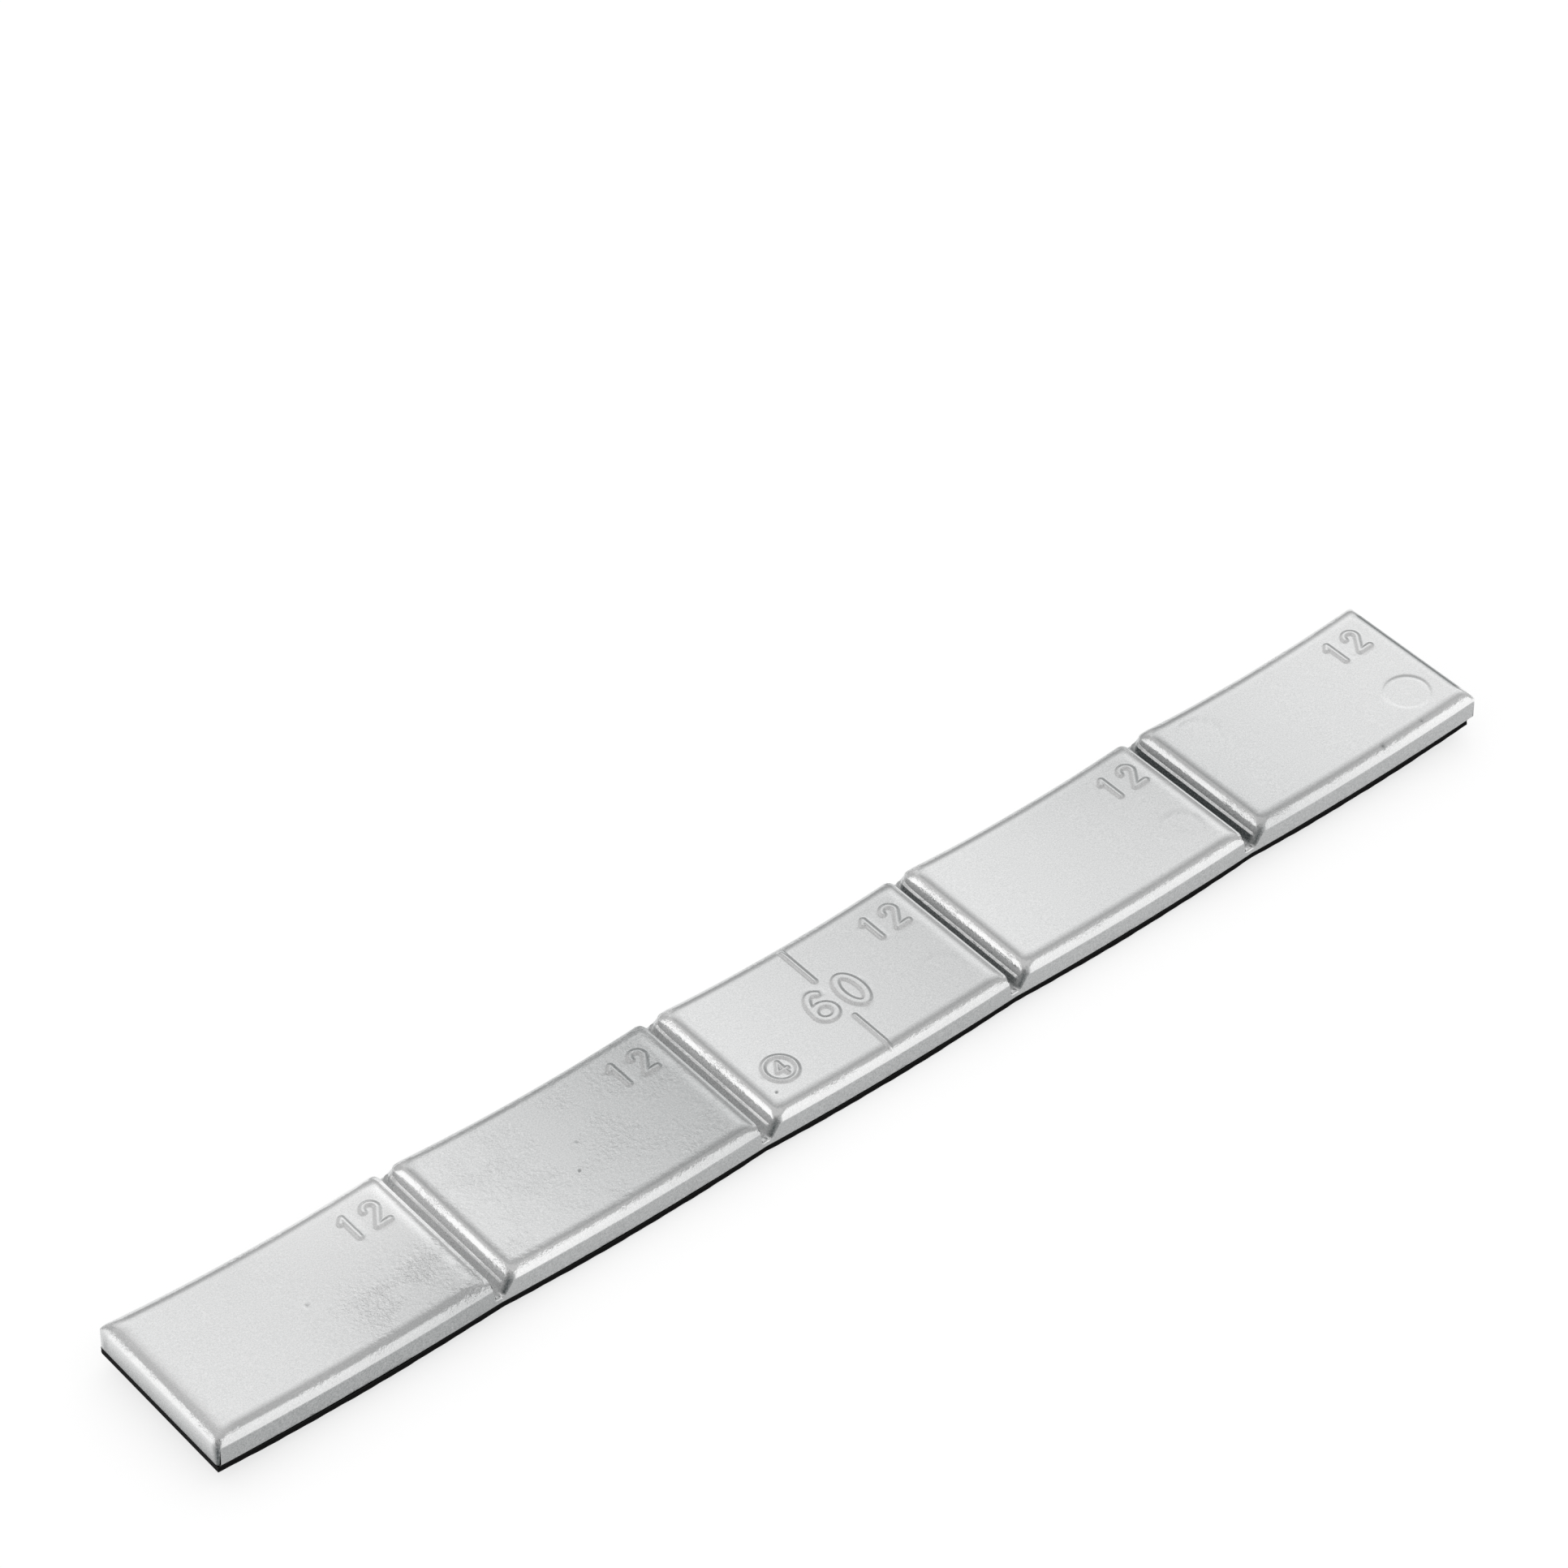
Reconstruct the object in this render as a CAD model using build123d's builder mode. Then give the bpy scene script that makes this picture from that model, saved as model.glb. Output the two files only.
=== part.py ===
"""Stick-on wheel balance weight: a row of cast segments on a strip of foam tape. Millimetres, +Z up.

The row runs along X. The origin is under the middle of the row, at the lowest point of the tape.
"""
import os
from math import cos, radians, sin, sqrt, tan

from build123d import *

# Row of segments: each underside is an arc that suits the barrel of a rim, and the webs are bent a little
segment_count = 5
segment_pitch = 31.0
rim_radius = 205.0
web_turn = 0.61

# Casting
strip_width = 18.0
plate_thickness = 3.45
top_edge_radius = 1.35

# Break grooves
web_thickness = 0.72
groove_floor = 0.92
groove_draft = 10.0
groove_foot_radius = 0.25

# Raised figures: the grams of the strip on its middle segment, the grams of one segment on each corner
relief = 0.22
strip_figure_height = 4.8
strip_figure_width = 2.9
strip_figure_gap = 1.05
strip_figure_stroke = 0.78
segment_figure_height = 3.4
segment_figure_width = 1.9
segment_figure_gap = 0.8
segment_figure_stroke = 0.55
corner_from_web = 5.4
corner_from_side = 4.6

# Centre mark, in line with the middle of the strip and broken by its figures
centre_mark_width = 0.5
centre_mark_clearance = 0.5

# Mould number, a figure in a ring
mould_ring_diameter = 3.7
mould_ring_stroke = 0.42
mould_figure_height = 1.9
mould_figure_width = 1.3

# Shallow round marks of the ejector pins
ejector_diameter = 4.65
ejector_depth = 0.06

# Foam tape
tape_thickness = 0.8
tape_inset = 0.2
tape_short_left = 0.2
tape_short_right = 1.0

half_pitch = segment_pitch / 2
half_width = strip_width / 2
tilts = [radians(web_turn) * (i - (segment_count - 1) / 2) for i in range(segment_count)]


def moved(point, tilt, along, up):
    """A point of the XZ plane, moved along a tilted direction and square to it."""
    x, z = point
    return x + along * cos(tilt) - up * sin(tilt), z + along * sin(tilt) + up * cos(tilt)


# Webs and row ends on the underside, and the centres of the arcs between them
webs = [(0.0, 0.0)]
for tilt in tilts:
    webs.append(moved(webs[-1], tilt, segment_pitch, 0))
arc_height = sqrt(rim_radius**2 - half_pitch**2)
centres = [moved(web, tilt, half_pitch, arc_height) for web, tilt in zip(webs, tilts)]
row_middle = (webs[0][0] + webs[-1][0]) / 2
lowest = min(z for _, z in centres) - rim_radius - tape_thickness
webs = [(x - row_middle, z - lowest) for x, z in webs]
centres = [(x - row_middle, z - lowest) for x, z in centres]
web_tilts = [tilts[0]] + [(a + b) / 2 for a, b in zip(tilts, tilts[1:])] + [tilts[-1]]
row_start, row_end = webs[0][0], webs[-1][0]


def draw_row(height):
    """The chain of arcs at a height above the underside. Returns its two end points."""
    corners = [moved(web, tilt, 0, height) for web, tilt in zip(webs, web_tilts)]
    middles = [moved(centre, tilt, 0, height - rim_radius) for centre, tilt in zip(centres, tilts)]
    for left, middle, right in zip(corners, middles, corners[1:]):
        ThreePointArc(left, middle, right)
    return corners[0], corners[-1]


def draw_band(lower, upper):
    """Closed outline of a layer of the row between two heights above the underside."""
    low_start, low_end = draw_row(lower)
    high_start, high_end = draw_row(upper)
    Line(low_start, high_start)
    Line(low_end, high_end)


def top_plane(segment, along, across, sink):
    """Plane just under the top of a segment, at a place measured from the segment's middle."""
    angle = tilts[segment] + along / (rim_radius - plate_thickness)
    x, z = moved(centres[segment], angle, 0, plate_thickness - rim_radius - sink)
    along_row = (cos(angle), 0, sin(angle))
    out_of_top = (-sin(angle), 0, cos(angle))
    return Plane(origin=(x, across, z), x_dir=along_row, z_dir=out_of_top)


def straight_stroke(width, start, end):
    """A stroke with round ends between two points."""
    with BuildLine(mode=Mode.PRIVATE) as path:
        Line(start, end)
    SlotArc(path.wire(), width)


def curved_stroke(width, start, middle, end):
    """A stroke with round ends along an arc through three points."""
    with BuildLine(mode=Mode.PRIVATE) as path:
        ThreePointArc(start, middle, end)
    SlotArc(path.wire(), width)


def figure_0(x, width, height, stroke):
    """An upright oval ring."""
    with Locations((x, 0)):
        Ellipse(width / 2, height / 2)
        Ellipse(width / 2 - stroke, height / 2 - stroke, mode=Mode.SUBTRACT)


def figure_1(x, width, height, stroke):
    """An upright with a short flag."""
    top = (height - stroke) / 2
    reach = width / 4
    straight_stroke(stroke, (x, -top), (x, top))
    straight_stroke(stroke, (x, top), (x - reach, top - reach))


def figure_2(x, width, height, stroke):
    """A half ring on a slanting stroke and a foot."""
    side = (width - stroke) / 2
    foot = (stroke - height) / 2
    crown = height / 2 - width / 2
    curved_stroke(stroke, (x - side, crown), (x, crown + side), (x + side, crown))
    straight_stroke(stroke, (x + side, crown), (x - side, foot))
    straight_stroke(stroke, (x - side, foot), (x + side, foot))


def figure_4(x, width, height, stroke):
    """An upright, a slanting stroke and a bar."""
    side = (width - stroke) / 2
    top = (height - stroke) / 2
    bar = -height / 6
    straight_stroke(stroke, (x + side / 2, -top), (x + side / 2, top))
    straight_stroke(stroke, (x + side / 2, top), (x - side, bar))
    straight_stroke(stroke, (x - side, bar), (x + side, bar))


def figure_6(x, width, height, stroke):
    """A round loop with a stem that curves over it and ends at the right."""
    loop = -(height - width) / 2
    side = (width - stroke) / 2
    top = (height - stroke) / 2
    shoulder = (x - side * 0.62, top * 0.62)
    crown = (x + side * 0.15, top)
    tip = (x + side * 0.85, top * 0.7)
    with Locations((x, loop)):
        Circle(width / 2)
    curved_stroke(stroke, (x - side, loop), shoulder, crown)
    curved_stroke(stroke, crown, (x + side * 0.58, top * 0.93), tip)
    with Locations((x, loop)):
        Circle(width / 2 - stroke, mode=Mode.SUBTRACT)


# Casting
with BuildPart() as cast_weight_strip:
    with BuildSketch(Plane.XZ):
        with BuildLine():
            draw_band(0, plate_thickness)
        make_face()
    extrude(amount=half_width, both=True)

    # Break grooves, open to both sides, with sloping walls
    groove_depth = plate_thickness - web_thickness
    half_floor = groove_floor / 2
    past_top = 2 * groove_depth
    half_mouth = half_floor + past_top * tan(radians(groove_draft))
    for web, tilt in list(zip(webs, web_tilts))[1:-1]:
        with BuildSketch(Plane.XZ) as groove:
            floor = [moved(web, tilt, along, web_thickness) for along in (-half_floor, half_floor)]
            high = web_thickness + past_top
            mouth = [moved(web, tilt, along, high) for along in (half_mouth, -half_mouth)]
            with BuildLine():
                Polyline(*floor, *mouth, close=True)
            make_face()
            fillet(groove.vertices().sort_by(Axis.Y)[:2], groove_foot_radius)
        extrude(amount=strip_width, both=True, mode=Mode.SUBTRACT)

    # All edges round the top of each segment, which is the only round face that slopes as little as this
    top_slope_limit = 20.0
    nearly_level = cos(radians(top_slope_limit))
    tops = faces().filter_by(GeomType.CYLINDER).filter_by(lambda face: face.normal_at().Z > nearly_level)
    fillet(tops.edges(), top_edge_radius)

    # Grams of the whole strip, with the centre mark on either side
    middle = segment_count // 2
    figure_step = (strip_figure_width + strip_figure_gap) / 2
    with BuildSketch(top_plane(middle, 0, 0, relief)):
        figure_6(-figure_step, strip_figure_width, strip_figure_height, strip_figure_stroke)
        figure_0(figure_step, strip_figure_width, strip_figure_height, strip_figure_stroke)
        mark_inner = strip_figure_height / 2 + centre_mark_clearance
        mark_outer = half_width - top_edge_radius
        with Locations((0, (mark_inner + mark_outer) / 2), (0, -(mark_inner + mark_outer) / 2)):
            Rectangle(centre_mark_width, mark_outer - mark_inner)
    extrude(amount=2 * relief)

    # Grams of one segment, in the back right corner of each
    corner_along = half_pitch - corner_from_web
    corner_across = half_width - corner_from_side
    figure_step = (segment_figure_width + segment_figure_gap) / 2
    for segment in range(segment_count):
        with BuildSketch(top_plane(segment, corner_along, corner_across, relief)):
            figure_1(-figure_step, segment_figure_width, segment_figure_height, segment_figure_stroke)
            figure_2(figure_step, segment_figure_width, segment_figure_height, segment_figure_stroke)
        extrude(amount=2 * relief)

    # Mould number, in the front left corner of the middle segment
    with BuildSketch(top_plane(middle, -corner_along, -corner_across, relief)):
        Circle(mould_ring_diameter / 2)
        Circle(mould_ring_diameter / 2 - mould_ring_stroke, mode=Mode.SUBTRACT)
        figure_4(0, mould_figure_width, mould_figure_height, mould_ring_stroke)
    extrude(amount=2 * relief)

    # Ejector pins left their marks on the last two segments
    last = segment_count - 1
    for segment, side in ((last - 1, 1), (last, 1), (last, -1)):
        with BuildSketch(top_plane(segment, side * corner_along, -side * corner_across, ejector_depth)):
            Circle(ejector_diameter / 2)
        extrude(amount=plate_thickness, mode=Mode.SUBTRACT)
cast_weight_strip.part.label = "cast_weight_strip"

# Foam tape, stuck all along the underside and a little short of both ends
with BuildPart() as adhesive_tape:
    with BuildSketch(Plane.XZ):
        with BuildLine():
            draw_band(-tape_thickness, 0)
        make_face()
    extrude(amount=half_width - tape_inset, both=True)
    split(bisect_by=Plane.YZ.offset(row_start + tape_short_left), keep=Keep.TOP)
    split(bisect_by=Plane.YZ.offset(row_end - tape_short_right), keep=Keep.BOTTOM)
adhesive_tape.part.label = "adhesive_tape"

os.makedirs("parts", exist_ok=True)
export_step(cast_weight_strip.part, "parts/cast_weight_strip.step")
export_step(adhesive_tape.part, "parts/adhesive_tape.step")
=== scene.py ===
import math

import bmesh
import bpy
import numpy as np
from mathutils import Matrix, Vector


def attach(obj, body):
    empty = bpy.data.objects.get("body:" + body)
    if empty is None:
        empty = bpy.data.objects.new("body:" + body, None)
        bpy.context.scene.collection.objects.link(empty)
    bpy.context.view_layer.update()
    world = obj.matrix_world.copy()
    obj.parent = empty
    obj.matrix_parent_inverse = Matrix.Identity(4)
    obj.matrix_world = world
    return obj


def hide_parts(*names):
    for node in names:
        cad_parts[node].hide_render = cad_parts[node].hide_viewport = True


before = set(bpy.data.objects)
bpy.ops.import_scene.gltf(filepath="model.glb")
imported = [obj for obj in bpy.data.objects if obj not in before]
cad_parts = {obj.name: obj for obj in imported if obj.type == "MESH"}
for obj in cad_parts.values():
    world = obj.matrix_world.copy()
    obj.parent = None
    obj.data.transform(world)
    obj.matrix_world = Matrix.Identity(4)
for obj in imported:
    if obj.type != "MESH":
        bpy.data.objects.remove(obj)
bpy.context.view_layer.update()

# Cast strip
# The weight itself: one zinc die casting of five curved segments in a row, with thin webs between them to snap by hand.
# It is tumbled to round its edges and sprayed with a silver coat. Its figures stand up from the top as cast.
MM = 0.001
SEGMENTS = 5
PITCH = 31.0
HALF_PITCH = PITCH / 2
RIM_RADIUS = 205.0
WEB_TURN = math.radians(0.61)
TAPE_THICKNESS = 0.8
STRIP_WIDTH = 18.0
WAIST = 0.1
THICKNESS = 3.45
LEFT_EDGE = (1.35, 1.35)
RIGHT_EDGE = (1.9, 0.9)
ROW_START_EDGE = (1.8, 0.95)
ROW_END_EDGE = (1.35, 1.35)
ROW_END_SHORT = 0.15
FRONT_EDGE = (1.33, 1.23)
BACK_EDGE = (2.1, 1.3)
WORN_FLAT = 0.16
FRONT_FLAT = 0.15
CORNER_RADIUS = 0.65
ROW_START_CORNER_RADIUS = 0.35
ROW_END_CORNER_RADIUS = 0.25
BACK_CORNER_RADIUS = 1.0
BACK_END_RISE = 0.31
BACK_END_REACH = 2.5
UNDER_EDGE_RADIUS = 0.12
MITRE_SOFTNESS = 0.3
CORNER_FADE = 6
WEB_THICKNESS = 0.72
FLOOR_TO_LEFT = (0.43, 0.36, 0.53, 0.80)
FLOOR_TO_RIGHT = (0.27, 0.42, 0.25, 0.24)
LIP_WIDTH = (0.38, 0.30, 0.22, 0.22)
LIP_DROP = 0.47
GROOVE_DRAFT = 10.0
FOOT_RADIUS = 0.25
WEB_EDGE_FLAT = 0.13
DIE_STEP_WIDTH = 0.21
DIE_STEP_DROP = 0.228
DIE_STEP_HEIGHT = 1.88

tilts = [WEB_TURN * (i - (SEGMENTS - 1) / 2) for i in range(SEGMENTS)]
webs = [np.zeros(2)]
for tilt in tilts:
    webs.append(webs[-1] + PITCH * np.array([math.cos(tilt), math.sin(tilt)]))
webs = np.array(webs)
arc_height = math.sqrt(RIM_RADIUS**2 - HALF_PITCH**2)
centres = np.array([
    (a + b) / 2 + arc_height * np.array([-math.sin(tilt), math.cos(tilt)])
    for a, b, tilt in zip(webs, webs[1:], tilts)
])
shift = np.array([webs[:, 0].mean(), centres[:, 1].min() - RIM_RADIUS - TAPE_THICKNESS])
webs -= shift
centres -= shift
web_tilts = [tilts[0]] + [(a + b) / 2 for a, b in zip(tilts, tilts[1:])] + [tilts[-1]]
half_turn = math.degrees(math.asin(HALF_PITCH / RIM_RADIUS))


def on_row(segment, along, height, web_share=0.0):
    """World x and z of points of a segment: along its underside from its middle, and height above the underside."""
    angle = np.arcsin(along / RIM_RADIUS) + tilts[segment]
    web_tilt = np.where(along > 0, web_tilts[segment + 1], web_tilts[segment])
    lean = angle * (1 - web_share) + web_tilt * web_share
    x = centres[segment, 0] + RIM_RADIUS * np.sin(angle) - height * np.sin(lean)
    z = centres[segment, 1] - RIM_RADIUS * np.cos(angle) + height * np.cos(lean)
    return x, z


def rounded_edge(edge, foot_along, foot_height, slope, steps=12):
    """The rounded edge, so wide and so deep, between the top and a wall that leans by slope degrees, from the top down.
    Tumbling has worn a narrow flat on it, halfway down."""
    width, depth = edge
    lean = math.tan(math.radians(slope))
    angles = np.linspace(math.pi / 2, math.atan(lean * depth / width), steps + 1)
    worn = np.clip((np.degrees(np.arctan2(depth * np.cos(angles), width * np.sin(angles))) - 44) / 16, 0, 1)
    height = THICKNESS - depth + depth * np.sin(angles) - WORN_FLAT * 0.79 * worn
    along = width * np.cos(angles) + WORN_FLAT * 0.62 * worn
    return along - along[-1] + foot_along - (height[-1] - foot_height) * lean, height


# How thick the silver coat is, from bare zinc at 0 to full silver at 1. The same values also carry painted shade on
# the sides, the back edges, the far end, the front corners and the last two groove walls, and painted highlights and
# painted light on the front edges, the start of the row, the groove edge bands and the first two groove walls.
FACE_COAT = 0.72
# Painted light on the band down each groove edge and a painted highlight on the glossy band above it.
BAND_PAINTED_LIGHT = 0.87
GLOSSY_BAND_PAINTED_HIGHLIGHT = 0.98
# Painted highlight on the rounded edge at the start of the row.
ROW_START_PAINTED_HIGHLIGHT = 0.84
# Painted light on the lower walls of the first two grooves and painted shade on those of the last two.
GROOVE_WALL_PAINTED_LIGHT = (0.85, 0.85, 0.27, 0.15)
# Painted shade on the sides and end walls, as a darker coat value than the top.
SIDE_PAINTED_SHADE = (0.45, 0.52, 0.53, 0.56, 0.56)
SPRAY_LEFT = (1.07, 1.03, 1.03, 1.02, 0.86)
SPRAY_RIGHT = (1.08, 0.72, 0.92, 0.94, 1.16)
# Painted highlight on the front edges, as a factor on their coat.
FRONT_EDGE_PAINTED_HIGHLIGHT = (1.00, 1.28, 1.20, 1.16, 1.11)
SPRAY_BACK_RIGHT = (0.22, 0.0, 0.0, -0.08, 0.0)
SIDE_DRYNESS = 0.375
CORNER_DRYNESS = 0.7
# Painted shade in a band round the front corners of the segments.
CORNER_PAINTED_SHADE = 0.42
# Painted shade on the back edges, as a factor on their coat.
BACK_EDGE_PAINTED_SHADE = 0.85
# Painted shade on the rounded edge at the far end of the row.
ROW_END_PAINTED_SHADE = 0.22


def groove_left_of_segment(half_floor, wall_painted_light):
    """Half a groove, from the rounded edge down the wall to the middle of the web. The two halves of the die meet in a
    small step on the wall. Rows: along, height, along without the step, share of the web's lean, coat with painted
    highlights on the edge bands and the step and painted light and shade on the lower wall, dryness."""
    slope = GROOVE_DRAFT - half_turn + math.degrees(WEB_TURN) / 2
    lean = math.radians(slope)
    foot = HALF_PITCH - half_floor
    edge_along, edge_height = rounded_edge(LEFT_EDGE, foot - DIE_STEP_WIDTH, WEB_THICKNESS, slope)
    foot_centre = foot + FOOT_RADIUS * (1 - math.sin(lean)) / math.cos(lean)
    angles = np.radians(np.linspace(180 + slope, 270, 5))
    foot_along = foot_centre + FOOT_RADIUS * np.cos(angles)
    foot_height = WEB_THICKNESS + FOOT_RADIUS + FOOT_RADIUS * np.sin(angles)
    down = DIE_STEP_HEIGHT - DIE_STEP_DROP * np.array([-0.5, -0.1, 0.0, 0.1, 0.9, 1.0, 1.15, 3.0])
    out = DIE_STEP_WIDTH * np.array([0.0, 0.0, 0.0, 0.1, 0.9, 1.0, 1.0, 1.0])
    wall_along = foot_along[0] - DIE_STEP_WIDTH + out - (down - foot_height[0]) * math.tan(lean)
    floor = np.linspace(0, 1, 4)[1:]
    floor_along = foot_centre + floor * (HALF_PITCH - foot_centre)
    along = np.concatenate([edge_along, wall_along, foot_along, floor_along])
    height = np.concatenate([edge_height, down, foot_height, np.full(len(floor), WEB_THICKNESS)])
    plain = np.interp(down, [foot_height[0], edge_height[-1]], [foot_along[0], edge_along[-1]])
    plain = np.concatenate([edge_along, plain, foot_along, floor_along])
    lean_share = np.concatenate([np.zeros(len(along) - len(floor)), floor])
    place = np.arange(len(along))
    step = len(edge_along) + 2
    foot = len(edge_along) + len(down)
    # Painted highlight on the glossy band and the die step facet, painted light on the band between them, then the
    # lower wall's painted light and shade.
    coat = np.interp(place, [4, 5, 9, 10, step - 1, step, step + 3, step + 4, foot + 1, foot + 4],
                     [FACE_COAT, GLOSSY_BAND_PAINTED_HIGHLIGHT, GLOSSY_BAND_PAINTED_HIGHLIGHT, BAND_PAINTED_LIGHT, BAND_PAINTED_LIGHT,
                      1.0, 1.0, wall_painted_light, wall_painted_light, FACE_COAT])
    dry = np.interp(place, [9, 10, step - 1, step, step + 3, step + 4], [0.0, 1.0, 1.0, 0.0, 0.0, 1.0])
    return np.stack([along, height, plain, lean_share, coat, dry])


def groove_right_of_segment(half_floor, lip, wall_painted_light):
    """The other half of a groove: a wide soft edge that ends in a thin lip of flash, and the wall. Rows as above."""
    foot = HALF_PITCH - half_floor
    width, depth = RIGHT_EDGE
    angles = np.linspace(0, math.acos(1 - LIP_DROP / depth), 11)
    edge_along, edge_height = width * np.sin(angles), THICKNESS - depth * (1 - np.cos(angles))
    lip_along = lip * np.array([0.15, 0.5, 0.85, 1.0, 1.1])
    lip_height = lip * -np.array([0.03, 0.06, 0.1, 0.2, 0.6])
    lip_along, lip_height = edge_along[-1] + lip_along, edge_height[-1] + lip_height
    wall = np.linspace(0, 1, 6)[1:]
    wall_along = lip_along[-1] + wall * 0.18
    wall_height = lip_height[-1] + wall * (WEB_THICKNESS - lip_height[-1])
    floor = np.linspace(0, 1, 4)[1:]
    along = np.concatenate([edge_along, lip_along, wall_along])
    along = np.concatenate([along - along[-1] + foot, foot + floor * half_floor])
    height = np.concatenate([edge_height, lip_height, wall_height, np.full(len(floor), WEB_THICKNESS)])
    lean_share = np.concatenate([np.zeros(len(along) - len(floor)), floor])
    place = np.arange(len(along))
    # The lower wall takes its painted light and shade.
    coat = np.interp(place, [14, 16, 20, 23], [FACE_COAT, wall_painted_light, wall_painted_light, FACE_COAT])
    return np.stack([along, height, along, lean_share, coat, np.interp(place, [14, 16], [0.0, 1.0])])


def row_end(edge, short, edge_painted_light, wall_painted_light):
    """An end of the row: the rounded edge and the wall down to the rounded edge of the underside. Rows as above."""
    along, height = rounded_edge(edge, HALF_PITCH - short, 0.0, -half_turn)
    place = np.arange(len(along) + 6)
    wall_height = np.linspace(height[-1], UNDER_EDGE_RADIUS, 7)[1:]
    wall_along = along[-1] + (height[-1] - wall_height) * math.tan(math.radians(-half_turn))
    along = np.concatenate([along, wall_along])
    height = np.concatenate([height, wall_height])
    # The end's edge takes a painted highlight at the start of the row and painted shade at its far end; the wall takes
    # the sides' painted shade.
    coat = np.interp(place, [0, 3, 10, 17], [FACE_COAT, edge_painted_light, edge_painted_light, wall_painted_light])
    return np.stack([along, height, along, 0 * along, coat, np.interp(place, [10, 17], [0.0, SIDE_DRYNESS])])


# The grid of the casting: stations along the row, each a ring of points over the top, down the sides and underneath.
# The coat is even on the top and dry and matt on the sides and in the grooves; its value carries painted shade on
# the sides and painted light and shade in the grooves.
FLAT_STEPS = 54
ACROSS_STEPS = 40
edge_angles = np.radians(np.linspace(0, 90, 13))
front_tilt = np.degrees(np.arctan2(FRONT_EDGE[1] * np.cos(edge_angles), FRONT_EDGE[0] * np.sin(edge_angles)))
front_worn = np.clip((front_tilt - 46) / 16, 0, 1)
front_inset = FRONT_EDGE[0] * (1 - np.cos(edge_angles)) + FRONT_FLAT * 0.59 * (1 - front_worn)
back_inset = BACK_EDGE[0] * (1 - np.cos(edge_angles[::-1]))
across_share = np.concatenate([[0.004], np.linspace(0, 1, ACROSS_STEPS + 1)[1:-1], [0.996]])
flat_inset = np.minimum(FRONT_EDGE[0] + across_share * STRIP_WIDTH, BACK_EDGE[0] + (1 - across_share) * STRIP_WIDTH)
line_inset = np.concatenate([front_inset, flat_inset, back_inset])
front_drop = FRONT_EDGE[1] * (1 - np.sin(edge_angles)) + FRONT_FLAT * 0.81 * front_worn
back_drop = BACK_EDGE[1] * (1 - np.sin(edge_angles[::-1]))
line_drop = np.concatenate([front_drop, 0 * across_share, back_drop])
line_front = np.arange(len(line_inset)) < len(line_inset) / 2
off_corner = np.clip((line_inset - 0.35) / 0.5, 0, 1)
web_edge = 1.4 * np.clip(WEB_EDGE_FLAT - line_inset, 0, None)
under_angles = np.radians(np.linspace(0, 90, 4))
back_end = np.where(line_front, 0, np.clip(1 - line_inset / BACK_END_REACH, 0, 1) ** 2)


def corner_cut(drop, radius):
    """How far each line is drawn in at the end of a segment, so that its corner is round in plan at every height."""
    front_edge = np.interp(drop, front_drop[::-1], front_inset[::-1])[:, None]
    side_edge = np.where(line_front, front_edge, np.interp(drop, back_drop, back_inset)[:, None])
    gap = np.clip(radius - np.clip(line_inset - side_edge, 0, None), 0, None)
    return radius - np.sqrt(radius**2 - gap**2)


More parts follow.
